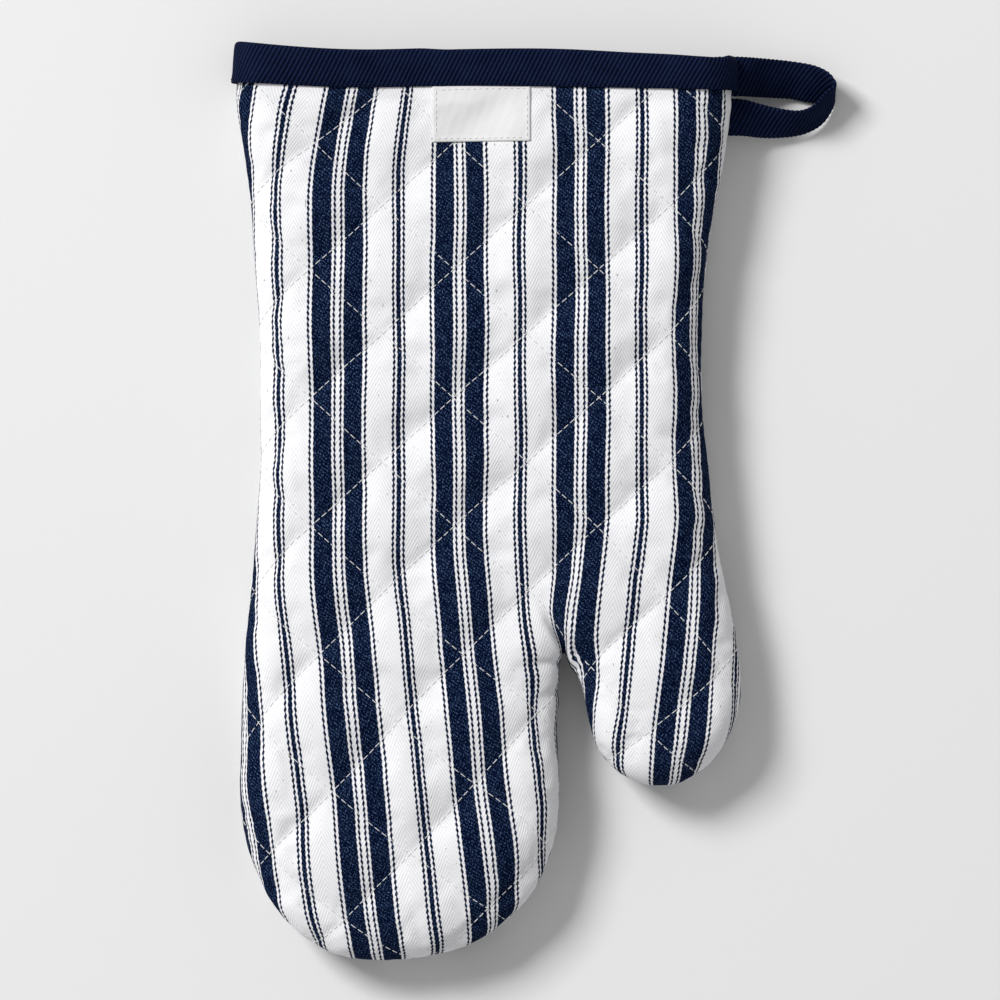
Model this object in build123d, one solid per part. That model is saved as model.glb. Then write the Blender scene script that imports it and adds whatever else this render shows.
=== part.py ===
from build123d import *
import math
import os

# An oven mitt lying flat on its palm: +X to the thumb side, +Y to the cuff, +Z up off the table.
# Every layer follows one rounded form, the pillow, moved in from the outside by the layers over it.

# Driving dimensions, in millimetres
HEIGHT = 30.0  # the whole mitt as it lies
EDGE_ROUND = 14.0  # how far its edges are rounded, above and below
SHELL = 1.0  # thickness of the striped outer fabric
BATTING = 4.5  # thickness of the insulating wadding
LINING = 0.6  # thickness of the cotton lining
TAPE = 0.6  # thickness of one layer of the cuff's binding tape
BINDING_DEPTH = 13.5  # how far the binding reaches down from the rim

# The outline of the mitt: places along its edge, with the heading of the edge there in degrees,
# anticlockwise as seen from above. It runs on past the cuff, where the rim is cut straight.
OUTLINE = [
    (-107.0, 172.0, 274),  # beyond the cuff, on the little finger's side
    (-96.6, 46.0, 270),  # waist
    (-104.9, -102.0, 270),  # widest part of the finger pocket
    (-82.6, -154.6, 320),  # corner of the little finger
    (-50.0, -163.3, 1),  # fingertips
    (-14.0, -152.6, 35),  # corner of the index finger
    (9.6, -106.0, 90),  # index finger
    (7.2, -65.0, 92),  # up to the crotch
    (11.4, -55.4, 0),  # top of the crotch
    (15.6, -61.5, -80),  # down the thumb
    (20.6, -84.0, -74),  # inside of the thumb
    (45.0, -101.5, 0),  # tip of the thumb
    (70.6, -81.5, 67),  # outside of the thumb's tip
    (73.9, -66.0, 91),  # widest part of the thumb
    (64.4, -10.0, 98),  # base of the thumb
    (59.5, 53.0, 89),  # waist
    (69.8, 140.0, 80),  # flare below the cuff
    (73.4, 172.0, 85),  # beyond the cuff, on the thumb's side
    (-17.0, 262.0, 180),  # far past the rim, where it is cut away
]

# The rim slopes slightly down to the thumb's side.
RIM_CENTRE = 160.4  # height of the rim above the middle of the mitt
RIM_SLOPE = -1.1  # degrees

# Quilting: two sets of slanting rows that cross in diamonds
DIAMOND_WIDTH = 51.0
DIAMOND_LENGTH = 45.5
DIAMOND_CENTRE = (22.7, 82.2)  # where two rows cross
THREAD_WIDTH = 0.6
THREAD_DEPTH = 0.4
QUILT_REACH = 12  # rows on each side of the centre, enough to cross the whole mitt
SEAM_THREAD_WIDTH = 0.5
SEAM_THREAD_HEIGHT = 1.2
BINDING_STITCH_INSET = 1.2  # from the binding's lower edge

# The label, a blank rectangle of cotton under the binding
LABEL_WIDTH = 34.4
LABEL_LENGTH = 19.4
LABEL_THICKNESS = 0.5
LABEL_CENTRE_X = -18.7
LABEL_STITCH_INSET = 1.4

# The hanging loop: pairs of places on the tape's upper and lower edges, from the root beside
# the binding, round the far end and back to the root below. It leaves the mitt flat, stands
# up where it turns, and its far end rests on the table.
LOOP_TAPE = 1.2
LOOP_EDGES = [
    ((73.3, 157.6, 13.4), (73.3, 144.4, 13.4)),
    ((84.0, 157.3, 13.6), (83.0, 144.5, 10.2)),
    ((92.5, 156.6, 13.8), (91.5, 144.9, 6.6)),
    ((100.5, 154.2, 14.0), (98.5, 145.3, 3.2)),
    ((105.0, 150.6, 14.2), (103.4, 146.4, 0.9)),
    ((106.2, 147.2, 14.2), (106.2, 144.2, 0.7)),
    ((104.2, 142.8, 14.2), (105.6, 139.4, 0.7)),
    ((99.8, 139.3, 14.0), (102.0, 134.0, 1.2)),
    ((93.0, 137.9, 13.8), (95.0, 130.8, 2.6)),
    ((83.5, 139.9, 13.6), (84.5, 129.4, 6.6)),
    ((73.3, 142.8, 13.4), (73.3, 129.6, 13.4)),
]

# Worked out from the above
MIDDLE = HEIGHT / 2
LINING_START = SHELL + BATTING
WALL = LINING_START + LINING
RIM = Plane(origin=(0, RIM_CENTRE, 0), z_dir=(math.sin(math.radians(-RIM_SLOPE)), 1, 0))
SPAN = 400.0  # larger than the mitt, for the blocks that cut it


def heading(degrees):
    """The direction of travel at a heading."""
    return Vector(math.cos(math.radians(degrees)), math.sin(math.radians(degrees)))


def two_arcs(start, end):
    """Two arcs, tangent to each other, from one place and heading to the next."""
    first = Vector(start[0], start[1])
    last = Vector(end[0], end[1])
    leaving = heading(start[2])
    arriving = heading(end[2])
    chord = last - first
    along = chord.dot(leaving + arriving)
    turn = 2 * (1 - leaving.dot(arriving))
    if turn < 1e-6:
        reach = chord.dot(chord) / (2 * along)
    else:
        reach = (math.sqrt(along**2 + turn * chord.dot(chord)) - along) / turn
    joint = (first + last + (leaving - arriving) * reach) * 0.5
    opening = TangentArc(first, joint, tangent=leaving)
    closing = TangentArc(joint, last, tangent=opening % 1)
    return [opening, closing]


def mitt_outline():
    """The flat shape of the mitt, closed far past the rim."""
    arcs = []
    for start, end in zip(OUTLINE, OUTLINE[1:] + OUTLINE[:1]):
        arcs += two_arcs(start, end)
    return make_face(Wire(arcs).edges())


FLAT_SHAPE = mitt_outline()
PILLOWS = {}


def pillow(depth):
    """The whole rounded form, with its surface moved in by depth."""
    if depth not in PILLOWS:
        flat = offset(FLAT_SHAPE, -depth) if depth else FLAT_SHAPE
        block = Pos(0, 0, depth) * extrude(flat, HEIGHT - 2 * depth)
        levels = block.edges().group_by(Axis.Z)
        PILLOWS[depth] = fillet(levels[0] + levels[-1], EDGE_ROUND - depth)
    return PILLOWS[depth]


def below_rim(distance):
    """A block that holds everything at least a distance below the rim."""
    size = (SPAN, SPAN, SPAN)
    return RIM * Pos(0, 0, -distance) * Box(*size, align=(Align.CENTER, Align.CENTER, Align.MAX))


def upper_half():
    """A block that holds the back of the mitt, above its side seam."""
    size = (2 * SPAN, 2 * SPAN, SPAN)
    return Pos(0, 0, MIDDLE) * Box(*size, align=(Align.CENTER, Align.CENTER, Align.MIN))


def stepped_form(depth):
    """The form at a depth, ending under the tape and pressed in by it where the binding covers it."""
    bare = pillow(depth) & below_rim(BINDING_DEPTH)
    pressed = pillow(depth + TAPE) & below_rim(TAPE)
    return bare + (pressed - below_rim(BINDING_DEPTH))


def skin(thickness):
    """The outermost layer of the pillow."""
    return pillow(0) - pillow(thickness)


def quilting_threads():
    """Every row of quilting stitches, let into the surface as a flat ribbon."""
    angle = math.atan2(DIAMOND_LENGTH, DIAMOND_WIDTH)
    spacing = DIAMOND_LENGTH * math.cos(angle)
    rows = []
    for lean in (math.degrees(angle), -math.degrees(angle)):
        across = Pos(*DIAMOND_CENTRE) * Rot(0, 0, lean)
        for number in range(-QUILT_REACH, QUILT_REACH + 1):
            rows.append(across * Pos(0, number * spacing) * Rectangle(2 * SPAN, THREAD_WIDTH))
    grid = (Sketch() + rows) & offset(FLAT_SHAPE, THREAD_WIDTH)
    sheets = extrude(grid, HEIGHT) & below_rim(BINDING_DEPTH)
    return skin(THREAD_DEPTH) & sheets


def side_seam_thread():
    """The row of stitches that joins the two panels, just inside the outer fabric."""
    outside = offset(FLAT_SHAPE, -SHELL)
    ring = outside - offset(FLAT_SHAPE, -SHELL - SEAM_THREAD_WIDTH)
    band = Pos(0, 0, MIDDLE - SEAM_THREAD_HEIGHT / 2) * extrude(ring, SEAM_THREAD_HEIGHT)
    return band & below_rim(BINDING_DEPTH)


def binding_thread():
    """The row of stitches round the cuff, near the binding's lower edge."""
    level = BINDING_DEPTH - BINDING_STITCH_INSET
    band = below_rim(level) - below_rim(level + THREAD_WIDTH)
    return skin(TAPE / 2) & band


def cuff_binding():
    """The tape folded over the rim, outside and inside the mouth."""
    around = (pillow(0) - pillow(WALL + TAPE)) & below_rim(0)
    panels = (pillow(TAPE) - pillow(WALL)) & below_rim(TAPE)
    return around - below_rim(BINDING_DEPTH) - panels


def label_place():
    """The middle of the label, on top of the mitt and square to the rim."""
    slope = math.tan(math.radians(RIM_SLOPE))
    height = RIM_CENTRE + LABEL_CENTRE_X * slope - BINDING_DEPTH - LABEL_LENGTH / 2
    return Pos(LABEL_CENTRE_X, height, HEIGHT) * Rot(0, 0, RIM_SLOPE)


def label():
    """The blank label."""
    return label_place() * extrude(Rectangle(LABEL_WIDTH, LABEL_LENGTH), LABEL_THICKNESS)


def label_thread():
    """The row of stitches round the label's edge, let into its face."""
    width = LABEL_WIDTH - 2 * LABEL_STITCH_INSET
    length = LABEL_LENGTH - 2 * LABEL_STITCH_INSET
    frame = Rectangle(width, length) - Rectangle(width - THREAD_WIDTH, length - THREAD_WIDTH)
    return label_place() * Pos(0, 0, LABEL_THICKNESS / 2) * extrude(frame, LABEL_THICKNESS / 2)


def tape_section(upper, lower, travel):
    """A cut across the loop's tape between two places on its edges."""
    across = upper - lower
    out = across.cross(travel).normalized() * (LOOP_TAPE / 2)
    corners = [upper + out, lower + out, lower - out, upper - out]
    return make_face(Polyline(*corners, close=True))


def hang_loop():
    """The hanging loop, a flat tape bent round into a loop."""
    pairs = [(Vector(*upper), Vector(*lower)) for upper, lower in LOOP_EDGES]
    middles = [(upper + lower) * 0.5 for upper, lower in pairs]
    outward = Vector(1, 0, 0)
    before = [middles[0] - outward] + middles[:-1]
    after = middles[1:] + [middles[-1] - outward]
    sections = []
    for (upper, lower), behind, ahead in zip(pairs, before, after):
        sections.append(tape_section(upper, lower, ahead - behind))
    return loft(sections, ruled=True)


def build_nodes():
    """Every piece of the mitt, by its name."""
    upper = upper_half()
    quilting = quilting_threads()
    side_seam = side_seam_thread()
    shell = stepped_form(0) - stepped_form(SHELL) - quilting
    inner_form = pillow(LINING_START) & below_rim(TAPE)
    batting = stepped_form(SHELL) - inner_form - side_seam
    lining = inner_form - pillow(WALL)
    cuff_stitches = binding_thread()
    label_stitches = label_thread()
    return {
        "back_shell": shell & upper,
        "back_batting": batting & upper,
        "back_lining": lining & upper,
        "back_quilting_thread": quilting & upper,
        "palm_shell": shell - upper,
        "palm_batting": batting - upper,
        "palm_lining": lining - upper,
        "palm_quilting_thread": quilting - upper,
        "side_seam_thread": side_seam,
        "cuff_binding": cuff_binding() - cuff_stitches,
        "binding_thread": cuff_stitches,
        "hang_loop": hang_loop(),
        "label": label() - label_stitches,
        "label_thread": label_stitches,
    }


def solids_of(shape):
    """A shape's solids, whether it is one piece or a list."""
    return ShapeList(shape).solids() if isinstance(shape, (list, tuple)) else shape.solids()


os.makedirs("parts", exist_ok=True)
nodes = {name: Compound(solids_of(shape)) for name, shape in build_nodes().items()}
box = Compound(list(nodes.values())).bounding_box()
to_origin = Pos(-(box.min.X + box.max.X) / 2, -(box.min.Y + box.max.Y) / 2, -box.min.Z)
print("moved by", to_origin.position)
for name, shape in nodes.items():
    print(name, len(shape.solids()), round(shape.volume, 1), shape.is_valid)
    placed = to_origin * shape
    export_step(placed, f"parts/{name}.step")
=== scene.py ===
import math
import bmesh
import bpy
import numpy as np
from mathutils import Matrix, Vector
from mathutils.bvhtree import BVHTree
from mathutils.geometry import delaunay_2d_cdt


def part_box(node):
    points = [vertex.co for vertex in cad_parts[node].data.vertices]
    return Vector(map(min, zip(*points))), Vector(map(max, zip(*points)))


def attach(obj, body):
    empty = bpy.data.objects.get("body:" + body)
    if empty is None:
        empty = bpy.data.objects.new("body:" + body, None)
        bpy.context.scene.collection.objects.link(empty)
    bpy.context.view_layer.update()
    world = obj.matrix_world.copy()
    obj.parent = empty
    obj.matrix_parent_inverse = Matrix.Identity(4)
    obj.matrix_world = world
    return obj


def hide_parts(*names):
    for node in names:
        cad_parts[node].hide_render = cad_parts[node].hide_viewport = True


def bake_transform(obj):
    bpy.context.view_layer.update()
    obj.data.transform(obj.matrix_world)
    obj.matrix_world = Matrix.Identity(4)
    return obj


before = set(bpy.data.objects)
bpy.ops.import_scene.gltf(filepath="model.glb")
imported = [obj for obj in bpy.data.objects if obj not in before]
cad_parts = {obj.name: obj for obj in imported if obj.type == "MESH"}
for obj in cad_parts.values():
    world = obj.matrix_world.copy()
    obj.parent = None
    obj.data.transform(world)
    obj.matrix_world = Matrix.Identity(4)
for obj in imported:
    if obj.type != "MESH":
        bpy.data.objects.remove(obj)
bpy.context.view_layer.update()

# The oven mitt's cloth, tape and thread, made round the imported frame.
# Shapes are worked out in millimetres in the frame's own axes, and written to meshes in metres.

MM = 0.001

# ---------------------------------------------------------------- driving dimensions, in millimetres

# The mitt's outline: places along its edge with the heading of the edge there, in degrees,
# anticlockwise as seen from above, from the cuff's left corner round to its right corner.
OUTLINE = [
    (-107.0, 172.0, 274),  # beyond the cuff, on the little finger's side
    (-96.6, 46.0, 270),  # waist
    (-104.9, -102.0, 270),  # widest part of the finger pocket
    (-82.6, -154.6, 320),  # corner of the little finger
    (-50.0, -163.3, 1),  # fingertips
    (-14.0, -152.6, 35),  # corner of the index finger
    (9.6, -106.0, 90),  # index finger
    (7.2, -65.0, 92),  # up to the crotch
    (11.4, -55.4, 0),  # top of the crotch
    (15.6, -61.5, -80),  # down the thumb
    (20.6, -84.0, -74),  # inside of the thumb
    (45.0, -101.5, 0),  # tip of the thumb
    (70.6, -81.5, 67),  # outside of the thumb's tip
    (73.9, -66.0, 91),  # widest part of the thumb
    (64.4, -10.0, 98),  # base of the thumb
    (59.5, 53.0, 89),  # waist
    (69.8, 140.0, 80),  # flare below the cuff
    (73.4, 172.0, 85),  # beyond the cuff, on the thumb's side
]
RIM_CENTRE = 160.4
RIM_SLOPE = math.tan(math.radians(-1.1))
EDGE_ROUND = 14.0
SHELL = 0.9  # the striped cloth, pressed flat
LINING = 0.6
LAYERS = 6.1  # from the outer face to the lining's inner face, where the padding is full
CLOTH_SHORT = 3.2  # how far the cloth and padding stop below the rim, inside the binding
QUILT_SEAM_GAP = 1.2  # how near the quilting comes to the side seam
TAPE = 0.6  # the binding's tape, as it is pressed into the cloth
TAPE_THICK = 0.9  # the same tape where it is free to stand
BINDING_STITCH = 1.3  # from the binding's lower edge to its row of stitches
TAPE_WIDTH = 14.0
LOOP_TAPE = 1.2
LOOP_ROOT = 9.0  # how far the loop's ends go in at the side, up to 4 mm past the lining
BINDING_DEPTH = 13.5
BINDING_INSIDE = 6.7  # from the binding's outer face to its inner one
BINDING_TURNED = 12.0  # how far the binding reaches down inside the cuff
RIB = 1.6  # from one rib of the tape to the next
RIB_SLANT = -0.5  # how far a rib runs along the tape for each millimetre across it
RIB_HEIGHT = 0.07
LABEL_THICK = 0.45
LABEL_INSET = 1.3
LABEL_TUCK = 1.6  # how far the label goes under the binding
LABEL_STITCH = 2.2

HEIGHT = 30.0  # the whole mitt as it lies
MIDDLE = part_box("palm_shell")[1][2] / MM  # the height where the two panels meet


def unit(angle):
    """The direction at an angle in radians, for one angle or many."""
    return np.stack([np.cos(angle), np.sin(angle)], axis=-1)


def arc(start, angle, end, step, turn):
    """Places and headings along the arc that leaves start at an angle and ends at end."""
    chord = end - start
    lean = math.remainder(math.atan2(chord[1], chord[0]) - angle, math.tau)
    length = np.linalg.norm(chord)
    count = max(math.ceil(length / step), math.ceil(abs(2 * lean) / turn))
    part = np.arange(count) / count
    reach = part if abs(lean) < 1e-6 else np.sin(part * lean) / math.sin(lean)
    places = start + (length * reach)[:, None] * unit(angle + part * lean)
    return places, angle + 2 * part * lean, angle + 2 * lean


def two_arcs(start, end, step, turn):
    """Places and headings along two arcs, tangent to each other, between two places of the outline."""
    first, last = np.array(start[:2]), np.array(end[:2])
    leaving, arriving = unit(math.radians(start[2])), unit(math.radians(end[2]))
    chord = last - first
    along = chord @ (leaving + arriving)
    bend = 2 * (1 - leaving @ arriving)
    square = chord @ chord
    reach = square / (2 * along) if bend < 1e-6 else (math.sqrt(along**2 + bend * square) - along) / bend
    joint = (first + last + (leaving - arriving) * reach) / 2
    opening, opening_angles, angle = arc(first, math.radians(start[2]), joint, step, turn)
    closing, closing_angles, _ = arc(joint, angle, last, step, turn)
    return np.vstack([opening, closing]), np.concatenate([opening_angles, closing_angles])


def outline(step, turn=math.radians(8)):
    """Places along the mitt's edge below the rim, and the outward direction at each."""
    runs = [two_arcs(start, end, step, turn) for start, end in zip(OUTLINE, OUTLINE[1:])]
    places = np.vstack([run[0] for run in runs])
    angles = np.concatenate([run[1] for run in runs])
    places = places + SHIFT
    keep = places[:, 1] < rim(places[:, 0])
    return places[keep], unit(angles[keep] - math.pi / 2)


def rim(across):
    """How far up the rim of the cuff is, at a place across the mitt."""
    return RIM_CENTRE + SHIFT[1] + RIM_SLOPE * (across - SHIFT[0])


SHIFT = np.array([0.0, 0.0])
tips, _ = outline(1.0)
SHIFT = np.array([
    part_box("cuff_binding")[0][0] / MM - tips[:, 0].min(),
    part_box("palm_shell")[0][1] / MM - tips[:, 1].min(),
])

# Quilting and stripes, in the cloth's own directions
DIAMOND_WIDTH = 51.0
DIAMOND_LENGTH = 45.5
DIAMOND_CENTRE = np.array([22.7, 82.2]) + SHIFT
DIAMOND_PARTS = 7  # how many faces a side of a half diamond has, before subdivision
PUFF = 2.7  # how far the padding stands above the rows of stitches
REST = 0.05  # how high the mitt's lowest places are
REST_ROUND = 0.6  # below this height its underside flattens
CLOTH_WAVER = 0.35  # how far the stripes wander from their line
CUFF_SAG = 3.4  # how far the back sags between the sides of the cuff
CROWN = 0.09  # how much lower the mitt is at its edge than in its middle
THREAD = 0.16
CLOTH_MASS = 0.001
CLOTH_EASE = 0.015  # how much wider the cloth is than the place it is sewn into
SIM_FRAMES = 20
SIM_REACH = 2.5
STITCH = 3.0  # from one stitch to the next
STRIPE_REPEAT = 43.0
STRIPE_CENTRE = 16.5 + SHIFT[0]
ROW_SPACING = DIAMOND_LENGTH * math.cos(math.atan2(DIAMOND_LENGTH, DIAMOND_WIDTH))
ROW_SIDE = math.hypot(DIAMOND_WIDTH, DIAMOND_LENGTH)  # along a row, between every second crossing


def smooth(value, start, end):
    """0 before start, 1 after end and an even curve between."""
    part = np.clip((value - start) / (end - start), 0, 1)
    return part * part * (3 - 2 * part)


def hump(value, centre, reach):
    """A smooth hump, 1 at its centre."""
    return np.exp(-(((value - centre) / reach) ** 2))


def in_thumb(across, along):
    """How much a place belongs to the thumb, from 0 to 1."""
    notch = 9 + 0.2 * np.maximum(-along - 45, 0)
    reach = 1.5 + 8 * smooth(along, -60, -15)
    return smooth(across, notch - reach, notch + reach)


def cloth_lean(across, along):
    """How far the stripes have moved to the thumb's side at a place, from the sewing and the cut."""
    down = np.maximum(-along, 0)
    little_finger = smooth(-across, 0, 60) * smooth(down, 105, 150)
    fingers = 5.6e-4 * down**2 + 1.9 * smooth(down, 15, 68) - 2.4 * little_finger
    thumb = -0.098 * np.maximum(down - 6, 0) - 2.6 * smooth(down, 70, 95) * hump(across, 24, 9)
    flare = 5.0 * np.clip((-20 - across) / 45, 0, 1) * (np.maximum(along - 105, 0) / 42) ** 2
    return fingers + in_thumb(across, along) * (thumb - fingers) + flare


def cloth_slide(across, along):
    """How far the cloth has slid down towards the tips of the thumb and fingers at a place."""
    down = -along
    thumb = 4.6 * smooth(down, 0, 60)
    crotch = -2.5 * hump(across, 2, 16) * smooth(down, 45, 75) * (1 - smooth(down, 95, 125))
    fingers = 2.9 * smooth(-across, 10, 60) * smooth(down, 60, 100) + crotch
    return fingers + in_thumb(across, along) * (thumb - fingers)


def quilt_counts(cloth):
    """The two counts of quilting rows at places of the cloth: whole numbers lie on a row."""
    away = (cloth[:, 1] - DIAMOND_CENTRE[1]) / DIAMOND_LENGTH
    side = (cloth[:, 0] - DIAMOND_CENTRE[0]) / DIAMOND_WIDTH
    return away - side, away + side


def puffs(cloth):
    """How far the padding fills out at places of the cloth, from 0 on a row of stitches to 1."""
    fill = 1.0
    for count in quilt_counts(cloth):
        part = count - np.floor(count)
        fill = fill * 4 * part * (1 - part)
    return fill**0.55


def puff_size(cloth):
    """How full each puff is, from one to the next."""
    first, second = (np.floor(count) for count in quilt_counts(cloth))
    draw = np.sin(first * 12.99 + second * 78.23) * 437.58
    return 0.82 + 0.36 * (draw - np.floor(draw))


# ---------------------------------------------------------------- meshes

def new_piece(name, places, faces):
    """A piece from places in millimetres and its faces."""
    mesh = bpy.data.meshes.new(name)
    mesh.from_pydata((np.asarray(places) * MM).tolist(), [], faces)
    mesh.validate()
    mesh.shade_smooth()
    piece = bpy.data.objects.new(name, mesh)
    bpy.context.scene.collection.objects.link(piece)
    return piece


def places_of(piece):
    """The places of a piece's vertices, in millimetres."""
    flat = np.empty(len(piece.data.vertices) * 3)
    piece.data.vertices.foreach_get("co", flat)
    return flat.reshape(-1, 3) / MM


def move_to(piece, places):
    """Moves a piece's vertices to new places, in millimetres."""
    piece.data.vertices.foreach_set("co", (places * MM).ravel())
    piece.data.update()


def faces_of(piece):
    """The corners of each face of a piece."""
    return [list(face.vertices) for face in piece.data.polygons]


def triangles_of(piece):
    """The corners of each triangle of a piece."""
    piece.data.calc_loop_triangles()
    flat = np.empty(len(piece.data.loop_triangles) * 3, dtype=int)
    piece.data.loop_triangles.foreach_get("vertices", flat)
    return flat.reshape(-1, 3)


def write_field(piece, name, values):
    """Stores a vector at each vertex, for materials and later steps."""
    field = piece.data.attributes.get(name) or piece.data.attributes.new(name, "FLOAT_VECTOR", "POINT")
    field.data.foreach_set("vector", np.ascontiguousarray(values, dtype=np.float32).ravel())


def read_field(piece, name):
    """Reads the vector stored at each vertex."""
    flat = np.empty(len(piece.data.vertices) * 3, dtype=np.float32)
    piece.data.attributes[name].data.foreach_get("vector", flat)
    return flat.reshape(-1, 3).astype(float)


def grid_faces(rows, columns):
    """The faces between the places of a grid, given row by row."""
    return [
        [corner, corner + 1, corner + 1 + columns, corner + columns]
        for row in range(rows - 1)
        for corner in range(row * columns, row * columns + columns - 1)
    ]


def distances(points):
    """How far each point of a path is along it."""
    return np.concatenate([[0], np.cumsum(np.linalg.norm(np.diff(points, axis=0), axis=1))])


def looked_up(at, known, values):
    """Rows of values at some distances, from the rows at known distances."""
    return np.column_stack([np.interp(at, known, column) for column in values.T])


def apply_modifiers(piece):
    """Makes a piece's modifiers part of its mesh."""
    graph = bpy.context.evaluated_depsgraph_get()
    mesh = bpy.data.meshes.new_from_object(
        piece.evaluated_get(graph), preserve_all_data_layers=True, depsgraph=graph
    )
    piece.modifiers.clear()
    piece.data = mesh
    mesh.shade_smooth()


def subdivide(piece, levels):
    """Rounds a piece's mesh out with finer faces."""
    modifier = piece.modifiers.new("finer", "SUBSURF")
    modifier.levels = levels
    modifier.render_levels = levels
    apply_modifiers(piece)


def unit_rows(vectors):
    """Each row as a direction."""
    return vectors / np.maximum(np.linalg.norm(vectors, axis=1), 1e-9)[:, None]


def sheet_between(name, upper, lower, faces):
    """A closed piece between two surfaces that share their faces."""
    uses = {}
    for face in faces:
        for a, b in zip(face, face[1:] + face[:1]):
            uses[(a, b)] = (b, a) in uses
            if (b, a) in uses:
                uses[(b, a)] = True
    count = len(upper)
    closed = list(faces)
    closed += [[corner + count for corner in reversed(face)] for face in faces]
    closed += [[b, a, a + count, b + count] for (a, b), shared in uses.items() if not shared]
    return new_piece(name, np.vstack([upper, lower]), closed)


# ---------------------------------------------------------------- the quilted panels

def edge_profile(count):
    """Steps round the mitt's edge, from the side seam to the flat: how far in, how far up, how far
    along the cloth and the turn from upright."""
    upright = HEIGHT / 2 - EDGE_ROUND
    turns = np.linspace(0, math.pi / 2, count)
    inward = np.concatenate([[0.0], EDGE_ROUND * (1 - np.cos(turns))])
    upward = np.concatenate([[0.0], upright + EDGE_ROUND * np.sin(turns)])
    travelled = np.concatenate([[0.0], upright + EDGE_ROUND * turns])
    return zip(inward, upward, travelled, np.concatenate([[0.0], turns]))


def depth_inside(points, border):
    """How far each point is inside a closed border, less than 0 outside it."""
    within = np.zeros(len(points), bool)
    nearest = np.full(len(points), np.inf)
    for a, b in zip(border, np.roll(border, -1, axis=0)):
        run = b - a
        if abs(run[1]) > 1e-9:
            crosses = (a[1] > points[:, 1]) != (b[1] > points[:, 1])
            within ^= crosses & (points[:, 0] < a[0] + (points[:, 1] - a[1]) * run[0] / run[1])
        part = np.clip(((points - a) @ run) / max(run @ run, 1e-12), 0, 1)
        nearest = np.minimum(nearest, np.linalg.norm(points - a - part[:, None] * run, axis=1))
    return np.where(within, nearest, -nearest)


def quilt_lattice(border, offset):
    """Places inside a border on a fine lattice in line with the quilting rows, so that rows are crisp."""
    counts = np.arange(-12 * DIAMOND_PARTS, 12 * DIAMOND_PARTS) / DIAMOND_PARTS
    first, second = (grid.ravel() for grid in np.meshgrid(counts, counts))
    cloth = np.column_stack([(second - first) * DIAMOND_WIDTH / 2, (first + second) * DIAMOND_LENGTH / 2])
    cloth += DIAMOND_CENTRE - offset
    near = (cloth > border.min(0) - EDGE_ROUND).all(1) & (cloth < border.max(0) + EDGE_ROUND).all(1)
    cloth = cloth[near]
    places = cloth.copy()
    for _ in range(12):
        lean = cloth_lean(places[:, 0], places[:, 1])
        slide = cloth_slide(places[:, 0], places[:, 1])
        places = cloth + np.column_stack([lean, -slide])
    return places[depth_inside(places, border) > 0.25 * ROW_SIDE / DIAMOND_PARTS]


def panel_base(name, side, offset):
    """The plain surface of one panel: rings round the edge and a lattice between. side is 1 for the
    back and -1 for the palm, and offset moves the stripes and the quilting in the cloth."""
    step = ROW_SIDE / 2 / DIAMOND_PARTS
    edge, outward = outline(step, math.radians(11))
    keep = edge[:, 1] < rim(edge[:, 0]) - CLOTH_SHORT
    edge, outward = edge[keep], outward[keep]
    places, spread, out = [], [], []
    profile = list(edge_profile(7))
    last_in, last_travel = profile[-1][0], profile[-1][2]
    for inward, upward, travelled, turn in profile:
        ring = edge - outward * inward
        flat = outward * (last_travel - travelled - (last_in - inward))
        low = upward * crown(ring, np.zeros(len(ring)))
        places.append(np.column_stack([ring, MIDDLE + side * low]))
        spread.append(np.column_stack([flat, np.full(len(ring), travelled)]))
        out.append(np.column_stack([outward * math.cos(turn), np.full(len(ring), side * math.sin(turn))]))
    size = len(edge)
    faces = grid_faces(len(profile), size)
    border = places[-1][:, :2]
    start = size * (len(profile) - 1)
    points = np.vstack([border, quilt_lattice(border, offset)])
    edges = [(corner, (corner + 1) % size) for corner in range(size)]
    made, _, inner, _, _, _ = delaunay_2d_cdt([Vector(point) for point in points], edges, [], 1, 1e-6)
    new = np.array([tuple(point) for point in made[size:]])
    depth = np.maximum(depth_inside(new, border), 0)
    places.append(np.column_stack([new, MIDDLE + side * HEIGHT / 2 * crown(new, depth)]))
    spread.append(np.column_stack([np.zeros((len(new), 2)), last_travel + depth]))
    out.append(np.tile([0.0, 0.0, float(side)], (len(new), 1)))
    faces += [[start + corner for corner in face] for face in inner]
    if side < 0:
        faces = [face[::-1] for face in faces]
    piece = new_piece(name, np.vstack(places), faces)
    join_triangles(piece)
    write_field(piece, "spread", np.vstack(spread))
    write_field(piece, "out", np.vstack(out))
    return piece


def crown(places, depth):
    """How much of its full height the mitt has at places, by how far in they are: it crowns towards
    its middle, and keeps its full height at the cuff."""
    to_cuff = smooth(places[:, 1] - rim(places[:, 0]), -60, -20)
    return 1 - CROWN * np.exp(-depth / 17) * (1 - to_cuff)


def cloth_of(plain, offset):
    """The cloth's own place at each vertex of a plain surface, and how far it is from the side seam."""
    places, spread = places_of(plain), read_field(plain, "spread")
    x, y = places[:, 0], places[:, 1]
    across = x + spread[:, 0] - cloth_lean(x, y) + offset[0]
    across += CLOTH_WAVER * np.sin(y / 11 + x / 17) * np.sin(x / 9 - y / 23)
    along = y + spread[:, 1] + cloth_slide(x, y) + offset[1]
    return np.column_stack([across, along, spread[:, 2]])


def join_triangles(piece):
    """Joins pairs of triangles into squares."""
    work = bmesh.new()
    work.from_mesh(piece.data)
    triangles = [face for face in work.faces if len(face.verts) == 3]
    bmesh.ops.join_triangles(
        work, faces=triangles, angle_face_threshold=0.2, angle_shape_threshold=0.7, cmp_seam=False
    )
    work.to_mesh(piece.data)
    work.free()
    piece.data.shade_smooth()


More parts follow.
